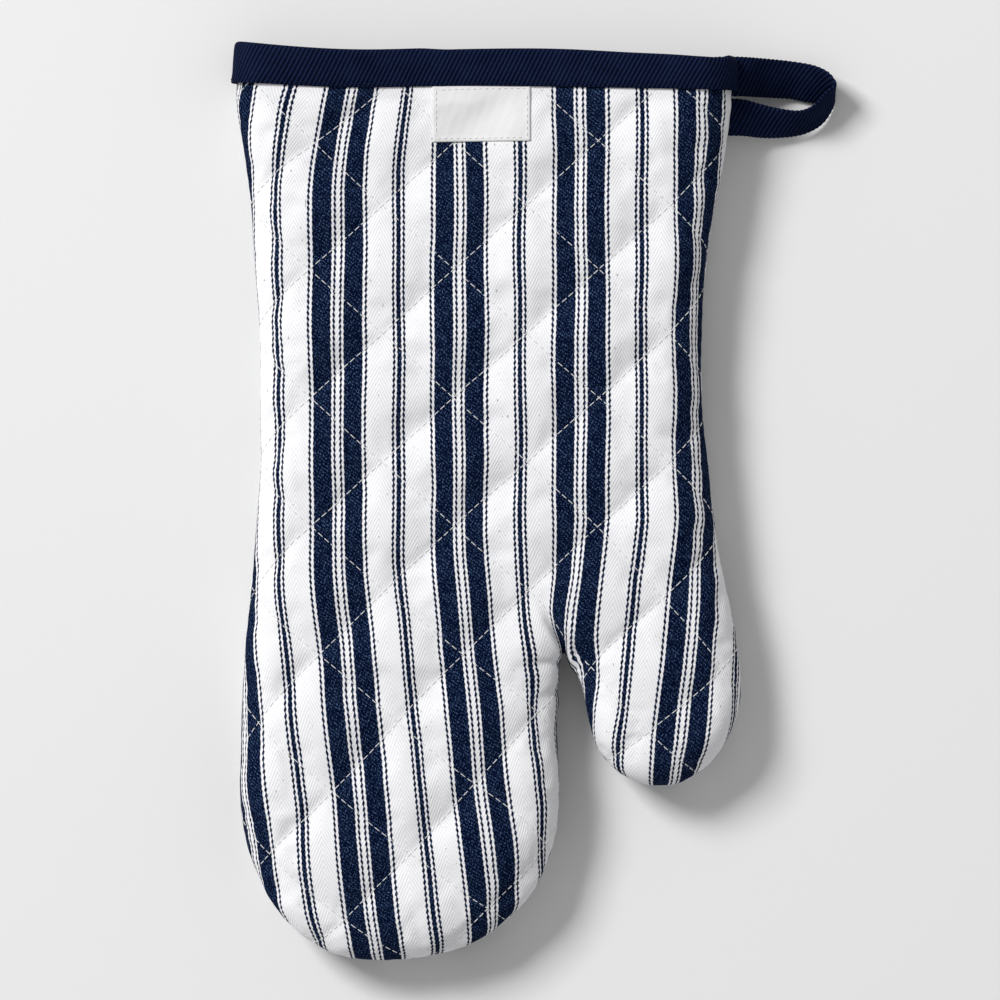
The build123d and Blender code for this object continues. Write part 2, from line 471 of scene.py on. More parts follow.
def pressed_by_binding(places):
    """How far the cuff's binding presses each place in, from 0 to 1."""
    return smooth(places[:, 1] - rim(places[:, 0]), -BINDING_DEPTH - 7, -BINDING_DEPTH)


FOLDS = [  # creases pulled in beside the crotch: from, to, depth and width
    ((5.0, -38.0), (11.5, -56.0), 2.7, 1.6),
    ((-9.0, -59.5), (8.0, -56.0), 0.7, 1.8),
    ((-2.0, -71.0), (9.0, -65.5), 1.0, 1.5),
    ((14.5, -48.0), (16.5, -60.0), 0.8, 1.3),
]


def folds(places):
    """How deep the creases beside the crotch are at places."""
    deep = np.zeros(len(places))
    for start, end, depth, width in FOLDS:
        start, end = np.array(start) + SHIFT, np.array(end) + SHIFT
        run = end - start
        part = ((places[:, :2] - start) @ run) / (run @ run)
        foot = start + np.clip(part, 0, 1)[:, None] * run
        away = np.linalg.norm(places[:, :2] - foot, axis=1)
        deep += depth * np.exp(-((away / width) ** 2)) * smooth(part, -0.1, 0.6)
    return deep


def sunk(places, cloth):
    """How deep the outer cloth lies below the plain surface: down at the rows, the seam and the binding."""
    from_seam = cloth[:, 2]
    rows = PUFF * (1 - puffs(cloth) * puff_size(cloth)) * (0.12 + 0.88 * smooth(from_seam, 0, 17))
    seam = 0.9 * np.exp(-from_seam / 1.5)
    pressed = pressed_by_binding(places)
    return (rows + seam + folds(places)) * (1 - pressed) + pressed * (TAPE + 0.35)


def quilt(plain, offset):
    """A copy of a plain panel with the padding filled out between the rows of stitches, which keeps
    the lining's surface beside it."""
    piece = plain.copy()
    piece.data = plain.data.copy()
    bpy.context.scene.collection.objects.link(piece)
    places, cloth = places_of(plain), cloth_of(plain, offset)
    out = unit_rows(read_field(plain, "out"))
    full = puffs(cloth) * smooth(cloth[:, 2], 0, 17)
    inner_depth = LAYERS - 1.3 * (1 - full) - 0.5 * pressed_by_binding(places)
    write_field(piece, "inner", places - out * inner_depth[:, None])
    move_to(piece, places - out * sunk(places, cloth)[:, None])
    return piece


def row_gap(cloth):
    """How far places of the cloth are from the nearest row of stitches, in millimetres."""
    first, second = (np.abs(count - np.round(count)) * ROW_SPACING for count in quilt_counts(cloth))
    return np.minimum(first, second)


def fill_out(panel, plain, offset):
    """Lets the padding press the cloth out between its stitches, by a cloth simulation."""
    before = places_of(panel)
    cloth = cloth_of(plain, offset)
    grip = np.maximum(1 - smooth(row_gap(cloth), 0.2, 1.5), 1 - smooth(cloth[:, 2], 1, 5))
    grip = np.maximum(grip, pressed_by_binding(places_of(plain)))
    group = panel.vertex_groups.new(name="sewn")
    for vertex, weight in enumerate(grip):
        group.add([vertex], float(weight), "REPLACE")
    filling = panel.modifiers.new("filling", "CLOTH")
    settings = filling.settings
    settings.quality = 6
    settings.mass = CLOTH_MASS
    settings.vertex_group_mass = "sewn"
    settings.use_pressure = True
    settings.uniform_pressure_force = 4
    settings.shrink_min = -CLOTH_EASE
    settings.effector_weights.gravity = 0
    filling.point_cache.frame_start = 1
    filling.point_cache.frame_end = SIM_FRAMES
    scene = bpy.context.scene
    for number in range(1, SIM_FRAMES + 1):
        scene.frame_set(number)
    apply_modifiers(panel)
    scene.frame_set(1)
    moved = places_of(panel) - before
    length = np.linalg.norm(moved, axis=1)
    move_to(panel, before + moved * np.minimum(1, SIM_REACH / np.maximum(length, 1e-9))[:, None])


def offset_surface(piece, depth):
    """The surface at a depth below a panel's outer face, and towards the lining's."""
    places, inner = places_of(piece), read_field(piece, "inner")
    gap = inner - places
    length = np.linalg.norm(gap, axis=1)[:, None]
    return places + gap * (depth / length)


def inner_surface(piece, height):
    """The surface at a height above the lining's inner face."""
    places, inner = places_of(piece), read_field(piece, "inner")
    gap = places - inner
    return inner + gap * (height / np.linalg.norm(gap, axis=1)[:, None])


PUSHES = [  # where handling has moved the cloth: the place, how far, and how wide an area
    ((-103.0, 142.0), (-1.7, 0.0), (14.0, 12.0)),
    ((-98.0, 75.0), (-1.5, 0.0), (14.0, 55.0)),
    ((-68.0, 155.0), (0.0, -1.7), (34.0, 34.0)),
    ((70.0, 124.0), (1.5, 0.0), (12.0, 18.0)),
    ((66.0, 25.0), (0.8, 0.0), (12.0, 60.0)),
    ((6.5, -39.0), (-1.6, 0.0), (7.0, 9.0)),
    ((6.0, -62.0), (2.7, -0.6), (8.0, 14.0)),
    ((13.5, -56.0), (-2.2, -2.8), (5.0, 8.0)),
]


def pushed(places):
    """Places after handling has moved the cloth a little, in the plane of the mitt."""
    moved = places.copy()
    for centre, push, reach in PUSHES:
        near = hump(places[:, 0], centre[0], reach[0]) * hump(places[:, 1], centre[1], reach[1])
        moved[:, :2] += near[:, None] * np.array(push)
    return moved


def settle(places):
    """Places after the mitt has settled: its back sags a little between the sides of the cuff, and
    it is flat where it rests."""
    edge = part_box("cuff_binding")[0][0] / MM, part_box("cuff_binding")[1][0] / MM
    part = np.clip((places[:, 0] - edge[0]) / (edge[1] - edge[0]), 0, 1)
    open_end = smooth(places[:, 1], 40, 168)
    sag = -CUFF_SAG * open_end * np.sin(part * math.pi) ** 2 * (1 + 0.35 * np.sin(part * 7.5))
    settled = pushed(places)
    settled[:, 2] += sag * np.clip(places[:, 2] / HEIGHT, 0, 1.1)
    low = settled[:, 2] < REST_ROUND
    reach = REST_ROUND - REST
    settled[low, 2] = REST + reach * np.exp((settled[low, 2] - REST_ROUND) / reach)
    return settled


def finish_piece(piece, body, slot, material, *nodes):
    """Settles a piece, gives it its material and its body, and hides the frame's nodes that it stands for.
    The slot is not used."""
    move_to(piece, settle(places_of(piece)))
    piece.data.materials.clear()
    piece.data.materials.append(material)
    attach(piece, body)
    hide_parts(*nodes)


def double_field(piece, source, name):
    """Copies a panel's stored vector to both faces of a piece made from it."""
    values = read_field(source, name)
    write_field(piece, name, np.vstack([values, values]))


def make_panel(label, side, offset, materials):
    """One quilted panel: the striped cloth, the cotton padding, the lining and the quilting stitches."""
    plain = panel_base(label + "_plain", side, offset)
    subdivide(plain, 1)
    panel = quilt(plain, offset)
    fill_out(panel, plain, offset)
    write_field(panel, "cloth", cloth_of(plain, offset))
    faces = faces_of(panel)
    padding = sheet_between(
        label + "_padding", offset_surface(panel, SHELL + 0.05), inner_surface(panel, LINING + 0.05), faces
    )
    lining = sheet_between(
        label + "_inner_cloth", inner_surface(panel, LINING), read_field(panel, "inner"), faces
    )
    inner_rows = quilting(panel, inner_surface(panel, -0.02), -1)
    double_field(padding, panel, "cloth")
    double_field(lining, panel, "cloth")
    subdivide(plain, 1)
    subdivide(panel, 1)
    write_field(panel, "cloth", cloth_of(plain, offset))
    cloth = sheet_between(label + "_cloth", places_of(panel), offset_surface(panel, SHELL), faces_of(panel))
    double_field(cloth, panel, "cloth")
    outer_rows = quilting(panel, places_of(panel), 1)
    stitches = joined_tubes(label + "_quilting", outer_rows + inner_rows, THREAD)
    if side > 0:
        make_label(cloth, materials["label"], materials["thread"])
    finish_piece(cloth, "mitt", "striped_ticking", materials["ticking"], label + "_shell")
    finish_piece(padding, "mitt", "cotton_batting", materials["batting"], label + "_batting")
    finish_piece(lining, "mitt", "white_lining", materials["lining"], label + "_lining")
    finish_piece(stitches, "mitt", "white_thread", materials["thread"], label + "_quilting_thread")
    bpy.data.objects.remove(plain)
    bpy.data.objects.remove(panel)


# ---------------------------------------------------------------- stitches

def row_lines(places, triangles, counts, carried):
    """Lines over a surface where a count is a whole number, each as rows of what is carried there."""
    lines = []
    values = np.column_stack([places, carried])
    for level in range(math.ceil(counts.min()), math.floor(counts.max()) + 1):
        above = counts > level
        split = above[triangles].any(1) & ~above[triangles].all(1)
        links = {}
        for a, b, c in triangles[split].tolist():
            ends = [(min(p), max(p)) for p in ((a, b), (b, c), (c, a)) if above[p[0]] != above[p[1]]]
            links.setdefault(ends[0], []).append(ends[1])
            links.setdefault(ends[1], []).append(ends[0])
        while links:
            start = min(links, key=lambda end: len(links[end]))
            chain = [start]
            while chain[-1] in links:
                onward = links.pop(chain[-1])
                chain += [end for end in onward if end in links][:1]
            chain = np.array(chain)
            first, second = chain[:, 0], chain[:, 1]
            part = (level - counts[first]) / (counts[second] - counts[first])
            lines.append(values[first] * (1 - part)[:, None] + values[second] * part[:, None])
    return lines


def dashes(lines, pitch, length, lift):
    """Stitches along lines of x, y, z, distance and direction out of the surface: each a short
    arched path that goes into the surface at both its ends."""
    paths = []
    part = np.linspace(0, 1, 6)
    arch = lift * (1 - 3.4 * (2 * part - 1) ** 4)
    for line in lines:
        line = line[np.argsort(line[:, 3])]
        if len(line) < 3:
            continue
        for number in range(math.ceil(line[0, 3] / pitch), math.floor(line[-1, 3] / pitch)):
            at = (number + 0.5) * pitch + (part - 0.5) * length
            spots = looked_up(at, line[:, 3], line[:, :3])
            raised = looked_up(at, line[:, 3], line[:, 4:7])
            if np.linalg.norm(spots[-1] - spots[0]) < 1.3 * length:
                paths.append(spots + unit_rows(raised) * arch[:, None])
    return paths


def quilting(piece, surface, face):
    """The paths of the quilting stitches on one face of a panel."""
    cloth = read_field(piece, "cloth")
    out = unit_rows(read_field(piece, "out")) * face
    counts = quilt_counts(cloth)
    triangles = triangles_of(piece)
    triangles = triangles[(cloth[triangles, 2] > QUILT_SEAM_GAP).all(1)]
    paths = []
    for count, other in (counts, counts[::-1]):
        travelled = other * ROW_SIDE / 2
        lines = row_lines(surface, triangles, count, np.column_stack([travelled, out]))
        paths += dashes(lines, STITCH, STITCH - 0.4, 0.08)
    return paths


def joined_tubes(name, paths, radius, sides=6):
    """One piece of many short round threads, each closed at its ends."""
    places, faces = [], []
    angles = np.arange(sides) * math.tau / sides
    for path in paths:
        start = len(places)
        run = unit_rows(np.gradient(path, axis=0))
        across = unit_rows(np.cross(run, [0.31, 0.17, 0.93]))
        above = np.cross(run, across)
        shrink = np.ones(len(path))
        shrink[[0, -1]] = 0.35
        for place, side, up, size in zip(path, across, above, shrink):
            ring = place + radius * size * (np.outer(np.cos(angles), side) + np.outer(np.sin(angles), up))
            places.extend(ring.tolist())
        for ring in range(len(path) - 1):
            for corner in range(sides):
                a = start + ring * sides + corner
                b = start + ring * sides + (corner + 1) % sides
                faces.append([a, b, b + sides, a + sides])
        last = start + (len(path) - 1) * sides
        faces.append([start + corner for corner in reversed(range(sides))])
        faces.append([last + corner for corner in range(sides)])
    return new_piece(name, places, faces)


# ---------------------------------------------------------------- the cuff's binding

def mouth_path(step):
    """Places round the cuff's mouth at its outer face, and the outward direction at each, in the
    plane across the mitt: along the palm, up the little finger's side, along the back and down again."""
    edge, _ = outline(1.0)
    left, right = edge[0, 0] + EDGE_ROUND, edge[-1, 0] - EDGE_ROUND
    upright = HEIGHT / 2 - EDGE_ROUND
    centres = np.array([(right, -upright), (left, -upright), (left, upright), (right, upright)])
    bend_count = round(EDGE_ROUND * math.pi / 2 / step)
    places, outward = [], []
    for quarter, (start, end) in enumerate(zip(centres, np.roll(centres, -1, axis=0)), start=1):
        out = unit(math.radians(-90 * quarter))
        count = max(1, round(np.linalg.norm(end - start) / step))
        part = (np.arange(count) / count)[:, None]
        places.append(start + (end - start) * part + EDGE_ROUND * out)
        outward.append(np.tile(out, (count, 1)))
        turned = unit(np.radians(-90 * (quarter + np.arange(bend_count) / bend_count)))
        places.append(end + EDGE_ROUND * turned)
        outward.append(turned)
    places, outward = np.vstack(places), np.vstack(outward)
    return np.vstack([places, places[:1]]), np.vstack([outward, outward[:1]])


def binding_profile():
    """The tape's section where it wraps the raw edge: depth below the outer face and height from
    the rim, round its outer face and back inside."""
    inner = BINDING_INSIDE
    middle = inner / 2
    lower_edge = [(0.15, -BINDING_DEPTH), (-0.12, -BINDING_DEPTH + 0.35)]
    outer = lower_edge + [(-0.05, -10), (-0.2, -6.5), (-0.1, -3.2)]
    turns = np.radians(np.arange(165, 0, -10))
    square = 0.62  # below 1, the fold over the raw edge is squarer than a half circle
    over = [
        (middle + middle * math.copysign(abs(math.cos(turn)) ** square, math.cos(turn)),
         middle * (abs(math.sin(turn)) ** square - 1))
        for turn in turns
    ]
    inside_edge = [(inner, -BINDING_TURNED + 0.3), (inner - 0.2, -BINDING_TURNED)]
    inside_face = [(inner, -4.5), (inner, -8)] + inside_edge
    face = np.array(outer + over + inside_face)
    run = unit_rows(np.gradient(face, axis=0))
    inward = np.column_stack([run[:, 1], -run[:, 0]])
    return face, face + inward * TAPE_THICK


def rim_wave(across):
    """How the rim rises and falls along the cuff, from handling."""
    ends = 1.3 * np.exp(-np.maximum(across + 107, 0) / 8) + 0.9 * hump(across, 69.0, 2.2)
    left = 0.7 * smooth(-across, 30, 42) - 0.3 * hump(across, -58, 26)
    right = 0.4 * hump(across, 5, 22) - 0.5 * hump(across, 38, 18) - 1.5 * hump(across, 66, 17)
    return ends + left + right - 0.3


def make_binding(material, thread):
    """The navy twill tape folded over the raw edges of the cuff."""
    ring, outward = mouth_path(1.2)
    face, back = binding_profile()
    section = np.vstack([face, back[::-1]])
    travelled = distances(section)
    along = distances(ring)
    places, field = [], []
    for spot, out, run in zip(ring, outward, along):
        across = spot[0] - out[0] * section[:, 0]
        wave = rim_wave(across) * smooth(section[:, 1], -BINDING_DEPTH, 0)
        height = rim(across) + section[:, 1] + wave
        level = MIDDLE + spot[1] - out[1] * section[:, 0]
        places.append(np.column_stack([across, height, level]))
        field.append(np.column_stack([np.full(len(section), run), travelled, np.zeros(len(section))]))
    size, turns = len(section), len(ring)
    faces = []
    for start in range(0, (turns - 1) * size, size):
        for corner in range(size):
            beside = (corner + 1) % size
            faces.append([start + corner, start + beside, start + size + beside, start + size + corner])
    last = (turns - 1) * size
    for corner in range(len(face) - 1):  # the tape's two ends, which meet under the palm
        across_end = [corner, size - 1 - corner, size - 2 - corner, corner + 1]
        faces.append(across_end)
        faces.append([last + place for place in reversed(across_end)])
    piece = new_piece("cuff_tape", np.vstack(places), faces)
    write_field(piece, "tape", np.vstack(field))
    finish_piece(piece, "mitt", "navy_twill_tape", material, "cuff_binding")
    down = -BINDING_DEPTH + BINDING_STITCH
    spots = np.column_stack([ring[:, 0], rim(ring[:, 0]) + down, MIDDLE + ring[:, 1]])
    out = np.column_stack([outward[:, 0], np.zeros(turns), outward[:, 1]])
    rows = [np.column_stack([spots + 0.12 * out, along, out])]
    stitches = joined_tubes("cuff_stitches", dashes(rows, STITCH * 0.8, STITCH * 0.8 - 0.7, 0.1), THREAD)
    finish_piece(stitches, "mitt", "navy_thread", thread, "binding_thread")


# ---------------------------------------------------------------- the hanging loop

LOOP_EDGES = [  # the tape's high edge and low edge along the loop, before the shift of the frame
    ((73.3, 157.9, 13.8), (73.3, 143.9, 13.4)),
    ((83.0, 157.3, 9.6), (82.5, 143.7, 6.2)),
    ((92.0, 156.4, 7.0), (91.0, 143.4, 2.3)),
    ((99.3, 155.0, 8.6), (97.0, 142.3, 1.6)),
    ((104.2, 152.6, 11.4), (101.6, 142.0, 1.2)),
    ((106.6, 149.6, 13.6), (105.2, 142.8, 1.0)),
    ((106.8, 148.1, 14.2), (106.6, 143.3, 0.9)),
    ((105.4, 146.8, 14.2), (106.6, 141.2, 0.9)),
    ((103.3, 145.1, 14.2), (105.5, 138.7, 1.0)),
    ((101.3, 142.6, 14.1), (103.1, 135.1, 1.3)),
    ((98.2, 139.9, 14.0), (99.3, 132.3, 1.8)),
    ((93.5, 138.6, 14.0), (94.0, 130.4, 2.6)),
    ((86.0, 139.6, 13.9), (86.5, 129.5, 4.4)),
    ((79.4, 141.3, 13.8), (79.4, 129.5, 6.8)),
    ((73.3, 142.9, 13.6), (73.3, 129.9, 11.5)),
]


def smooth_line(points, count):
    """A smooth line through points, at even steps of their own order."""
    points = np.array(points, dtype=float)
    slopes = np.gradient(points, axis=0)
    at = np.linspace(0, len(points) - 1, count)
    start = np.minimum(at.astype(int), len(points) - 2)
    t = (at - start)[:, None]
    return (
        (2 * t**3 - 3 * t**2 + 1) * points[start]
        + (t**3 - 2 * t**2 + t) * slopes[start]
        + (3 * t**2 - 2 * t**3) * points[start + 1]
        + (t**3 - t**2) * slopes[start + 1]
    )


def make_loop(material):
    """The tape sewn into the side seam by both its ends, to hang the mitt from."""
    root = np.array([LOOP_ROOT, 0.0, 0.0])
    upper = [np.array(pair[0]) for pair in LOOP_EDGES]
    lower = [np.array(pair[1]) for pair in LOOP_EDGES]
    for line in (upper, lower):
        line.insert(0, line[0] - root)
        line.append(line[-1] - root)
    count = 260
    upper, lower = smooth_line(upper, count), smooth_line(lower, count)
    uneven = distances((upper + lower) / 2)
    along = np.linspace(0, uneven[-1], count)
    upper, lower = looked_up(along, uneven, upper), looked_up(along, uneven, lower)
    part = np.linspace(0, 1, 41)
    surface = upper[:, None] * (1 - part)[None, :, None] + lower[:, None] * part[None, :, None]
    surface[:, :, :2] += SHIFT
    run = np.gradient(surface, axis=0)
    across = np.gradient(surface, axis=1)
    normal = np.cross(across, run)
    normal /= np.linalg.norm(normal, axis=2)[:, :, None]
    width = np.linalg.norm(upper - lower, axis=1)[:, None] * part[None, :]
    edge = np.minimum(part, 1 - part)[None, :] * TAPE_WIDTH
    thin = LOOP_TAPE / 2 * (1 - 0.5 * np.exp(-edge / 0.35))
    across /= np.linalg.norm(across, axis=2)[:, :, None]
    two_faces, fields = [], []
    for face in (1, -1):
        ribs = np.cos((along[:, None] - face * width * RIB_SLANT) * math.tau / RIB)
        ragged = (ribs * 0.10 * np.exp(-edge / 0.4))[:, :, None] * np.sign(part - 0.5)[None, :, None]
        raised = normal * (face * (thin + RIB_HEIGHT * ribs))[:, :, None]
        two_faces.append((surface + ragged * across + raised).reshape(-1, 3))
        field = np.stack([along[:, None] + 0 * width, -face * width, 0 * width], axis=-1)
        fields.append(field.reshape(-1, 3))
    faces = grid_faces(count, len(part))
    piece = sheet_between("loop_tape", two_faces[1], two_faces[0], faces)
    write_field(piece, "tape", np.vstack(fields[::-1]))
    piece.data.materials.append(material)
    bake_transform(piece)
    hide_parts("hang_loop")


# ---------------------------------------------------------------- the label

def heights_over(piece, points):
    """How high a piece's surface is above each place, in millimetres."""
    tree = BVHTree.FromPolygons([vertex.co for vertex in piece.data.vertices], faces_of(piece))
    found = []
    for x, y in points:
        hit = tree.ray_cast(Vector((x * MM, y * MM, 0.1)), Vector((0, 0, -1)))[0]
        found.append(HEIGHT if hit is None else hit.z / MM)
    return np.array(found)


def make_label(cloth, material, thread):
    """The blank woven label sewn on the back below the binding, and its stitches."""
    low, high = (np.array(corner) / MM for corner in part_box("label"))
    across = np.linspace(low[0], high[0], 61)
    up = np.linspace(low[1], high[1] + LABEL_TUCK, 39)
    grid = np.array([(x, y) for y in up for x in across])
    ground = heights_over(cloth, grid).reshape(len(up), len(across))
    for _ in range(60):
        padded = np.pad(ground, 1, mode="edge")
        around = (padded[:-2, 1:-1] + padded[2:, 1:-1] + padded[1:-1, :-2] + padded[1:-1, 2:]) / 4
        ground = np.maximum(ground, around)
    x, y = grid[:, 0].reshape(ground.shape), grid[:, 1].reshape(ground.shape)
    edge = np.minimum(np.minimum(x - x.min(), x.max() - x), y - y.min())
    step = 0.22 * (1 - smooth(edge, 1.5, 2.0))
    groove = -0.16 * np.exp(-(((edge - LABEL_INSET) / 0.45) ** 2))
    top = ground + LABEL_THICK + step + groove - 0.3 * np.exp(-edge / 0.3)
    top += 0.05 * np.sin(x * 1.7 + y * 0.6) * np.sin(y * 1.3)
    faces = grid_faces(len(up), len(across))
    upper = np.column_stack([grid, top.ravel()])
    lower = np.column_stack([grid, ground.ravel() + 0.02])
    piece = sheet_between("blank_label", upper, lower, faces)
    flat = grid - grid.mean(0)
    write_field(piece, "cloth", np.vstack([np.column_stack([flat, edge.ravel()])] * 2))
    left, right = x.min() + LABEL_INSET, x.max() - LABEL_INSET
    bottom, top_row = y.min() + LABEL_INSET, y.max() - LABEL_TUCK - LABEL_INSET
    corners = np.array([(left, top_row), (left, bottom), (right, bottom), (right, top_row)])
    lines = []
    for a, b in zip(corners, np.roll(corners, -1, axis=0)):
        part = np.linspace(0, 1, 80)[:, None]
        points = a + (b - a) * part
        level = heights_over(piece, points)
        travelled = part[:, 0] * np.linalg.norm(b - a)
        upright = np.tile([0.0, 0.0, 1.0], (len(points), 1))
        lines.append(np.column_stack([points, level, travelled, upright]))
    finish_piece(piece, "mitt", "label_cotton", material, "label")
    stitches = joined_tubes("label_stitches", dashes(lines, LABEL_STITCH, LABEL_STITCH - 0.75, 0.12), THREAD)
    finish_piece(stitches, "mitt", "white_thread", thread, "label_thread")


# ---------------------------------------------------------------- materials

class Field:
    """A number worked out over a surface by a material's nodes, written like arithmetic."""

    def __init__(self, tree, socket):
        self.tree = tree
        self.socket = socket

    def node(self, operation, *others, clamp=False):
        """This put through one of the node's operations."""
        made = self.tree.nodes.new("ShaderNodeMath")
        made.operation = operation
        made.use_clamp = clamp
        for place, value in enumerate((self, *others)):
            if isinstance(value, Field):
                self.tree.links.new(value.socket, made.inputs[place])
            else:
                made.inputs[place].default_value = value
        return Field(self.tree, made.outputs[0])

    def __add__(self, other):
        return self.node("ADD", other)

    def __sub__(self, other):
        return self.node("SUBTRACT", other)

    def __mul__(self, other):
        return self.node("MULTIPLY", other)

    def flip(self):
        """One less this."""
        return self * -1 + 1

    def size(self):
        """This without its sign."""
        return self.node("ABSOLUTE")

    def most(self, other):
        """This or another, whichever is more."""
        return self.node("MAXIMUM", other)

    def repeat(self, length):
        """This measured from the nearest whole number of lengths."""
        return self.node("WRAP", length / 2, -length / 2)

    def wave(self, length):
        """A sine wave of this, from -1 to 1."""
        return (self * (math.tau / length)).node("SINE")

    def above(self, level, blur):
        """0 below a level, 1 above it, blurred."""
        return (self * (1 / blur)).node("ADD", 0.5 - level / blur, clamp=True)


def new_material(name):
    """An empty node material, with its node tree and its shader."""
    material = bpy.data.materials.new(name)
    material.use_nodes = True
    return material, material.node_tree, material.node_tree.nodes["Principled BSDF"]


def surface_fields(tree, name):
    """The first two numbers of a vector stored on the surface, and the vector."""
    attribute = tree.nodes.new("ShaderNodeAttribute")
    attribute.attribute_name = name
    split = tree.nodes.new("ShaderNodeSeparateXYZ")
    tree.links.new(attribute.outputs["Vector"], split.inputs[0])
    return Field(tree, split.outputs[0]), Field(tree, split.outputs[1]), attribute.outputs["Vector"]


def speckle(tree, vector, scale, detail=2.0):
    """Even noise over the surface, from 0 to 1."""
    noise = tree.nodes.new("ShaderNodeTexNoise")
    noise.inputs["Scale"].default_value = scale
    noise.inputs["Detail"].default_value = detail
    tree.links.new(vector, noise.inputs["Vector"])
    return Field(tree, noise.outputs["Fac"])


def stretched(tree, vector, angle, scales):
    """A stored vector turned about the surface's upright and scaled, for slanted noise."""
    mapping = tree.nodes.new("ShaderNodeMapping")
    mapping.inputs["Rotation"].default_value[2] = angle
    mapping.inputs["Scale"].default_value = scales
    tree.links.new(vector, mapping.inputs["Vector"])
    return mapping.outputs[0]


def blend_colours(tree, share, first, second):
    """A colour between two, by a share from 0 to 1. Each is a colour or a socket."""
    mix = tree.nodes.new("ShaderNodeMix")
    mix.data_type = "RGBA"
    tree.links.new(share.socket, mix.inputs["Factor"])
    for socket, value in zip((mix.inputs[6], mix.inputs[7]), (first, second)):
        if isinstance(value, tuple):
            socket.default_value = (*value, 1)
        else:
            tree.links.new(value, socket)
    return mix.outputs[2]


def raise_surface(tree, shader, height, distance):
    """Raises fine relief on the surface, by up to a distance in millimetres."""
    bump = tree.nodes.new("ShaderNodeBump")
    bump.inputs["Distance"].default_value = distance * MM
    tree.links.new(height.socket, bump.inputs["Height"])
    tree.links.new(bump.outputs[0], shader.inputs["Normal"])


def cotton(tree, shader, colour, roughness=0.9):
    """The soft, dull finish of cotton in a colour."""
    tree.links.new(colour, shader.inputs["Base Color"])
    shader.inputs["Roughness"].default_value = roughness
    shader.inputs["Specular IOR Level"].default_value = 0.02


WHITE = (0.88, 0.88, 0.90)
WHITE_SHADE = (0.60, 0.60, 0.64)
NAVY = (0.0010, 0.0036, 0.0185)
NAVY_LIGHT = (0.085, 0.150, 0.300)
# the tape's navy between its ribs, darkened there by painted shade, and its rib crests, lightened as a
# painted sheen
TAPE_NAVY = (0.0009, 0.0020, 0.0095)
TAPE_RIB_SHEEN = (0.0175, 0.029, 0.088)
PICK = 2.07  # from one line of the weave to the next, along a stripe


def ticking_material():
    """White herringbone cotton with woven navy stripes."""
    material, tree, shader = new_material("striped_ticking")
    across, along, vector = surface_fields(tree, "cloth")
    fine = speckle(tree, vector, 1.5)
    coarse = speckle(tree, vector, 0.22)
    side = (across - STRIPE_CENTRE).repeat(STRIPE_REPEAT).size()
    uneven = (fine - 0.5) * 0.3
    beads = (along - side * 0.55).wave(PICK)
    blue = blue_stripes(side, beads, uneven)
    chevron = (side - 14.7).size()
    weave = (along + chevron * 2.0 + uneven).wave(PICK).above(0.1, 1.6)
    flecks = denim_flecks(tree, across, along, vector)
    navy = blend_colours(tree, flecks + (coarse - 0.5) * 0.15, NAVY, NAVY_LIGHT)
    shade = weave * weave * 0.50 + (coarse - 0.5) * 0.22 + (fine - 0.5) * 0.50 - 0.04
    white = blend_colours(tree, shade, WHITE, WHITE_SHADE)
    lint = speckle(tree, stretched(tree, vector, 0.0, (1.0, 0.6, 1.0)), 0.9, 0.0).above(0.845, 0.02)
    white = blend_colours(tree, lint * 0.6, white, (0.16, 0.15, 0.13))
    cotton(tree, shader, blend_colours(tree, blue, white, navy))
    raise_surface(tree, shader, weave * -0.7 + blue * 0.4 + fine * 0.8, 0.08)
    return material


def denim_flecks(tree, across, along, vector):
    """Where white yarn shows through the navy bands: small flecks in slanted lines."""
    twill = (along + across * 0.75).wave(1.38) * 0.06 + (along * 0.45 - across).wave(1.24) * 0.04
    specks = speckle(tree, stretched(tree, vector, math.radians(30), (1.2, 0.75, 1.0)), 2.2, 1.0)
    return (twill + specks).above(0.635, 0.12) * 0.66


def blue_stripes(side, beads, uneven):
    """Where the ticking is navy, from the distance to the middle of its wide group of stripes."""
    ragged = side + beads * 0.10 + uneven
    band = ragged.above(2.2, 0.15) * ragged.above(8.7, 0.15).flip()
    blue = band.most(ragged.above(STRIPE_REPEAT / 2 - 0.8, 0.15))
    for place, reach in ((1.08, 0.36), (9.90, 0.36), (19.63, 0.38)):
        line = (side - place).size() + beads * 0.17 + uneven * 0.5
        blue = blue.most(line.above(reach, 0.2).flip())
    return blue


def tape_material():
    """Navy cotton tape with slanted twill ribs, its colour lightened on the rib crests as a painted sheen
    and darkened between them as painted shade, over the yarn's uneven tone.
    """
    material, tree, shader = new_material("navy_twill_tape")
    along, across, vector = surface_fields(tree, "tape")
    fine = speckle(tree, vector, 1.6)
    coarse = speckle(tree, vector, 0.12)
    rib = (along + across * RIB_SLANT).wave(RIB)
    twist = (along * 0.5 - across * 2.2).wave(1.0)
    # painted sheen on the rib crests and painted shade between them, broken up by the yarn's uneven tone
    share = (rib * 0.5 + 0.5) * (fine * 0.9 + 0.1) + (coarse - 0.5) * 0.3
    colour = blend_colours(tree, share.node("ADD", 0.0, clamp=True), TAPE_NAVY, TAPE_RIB_SHEEN)
    cotton(tree, shader, colour, 0.85)
    raise_surface(tree, shader, rib * 0.5 + twist * 0.08 + fine * 0.3, 0.28)
    return material


def plain_cotton(name, colour, shade, field, scale, relief):
    """Plainly woven cotton."""
    material, tree, shader = new_material(name)
    across, along, vector = surface_fields(tree, field)
    fine = speckle(tree, vector, 1.1)
    weave = across.wave(scale) * along.wave(scale)
    share = (weave * 0.5 + 0.5) * 0.4 + fine * 0.4
    cotton(tree, shader, blend_colours(tree, share, colour, shade))
    raise_surface(tree, shader, weave * 0.5 + fine * 0.5, relief)
    return material


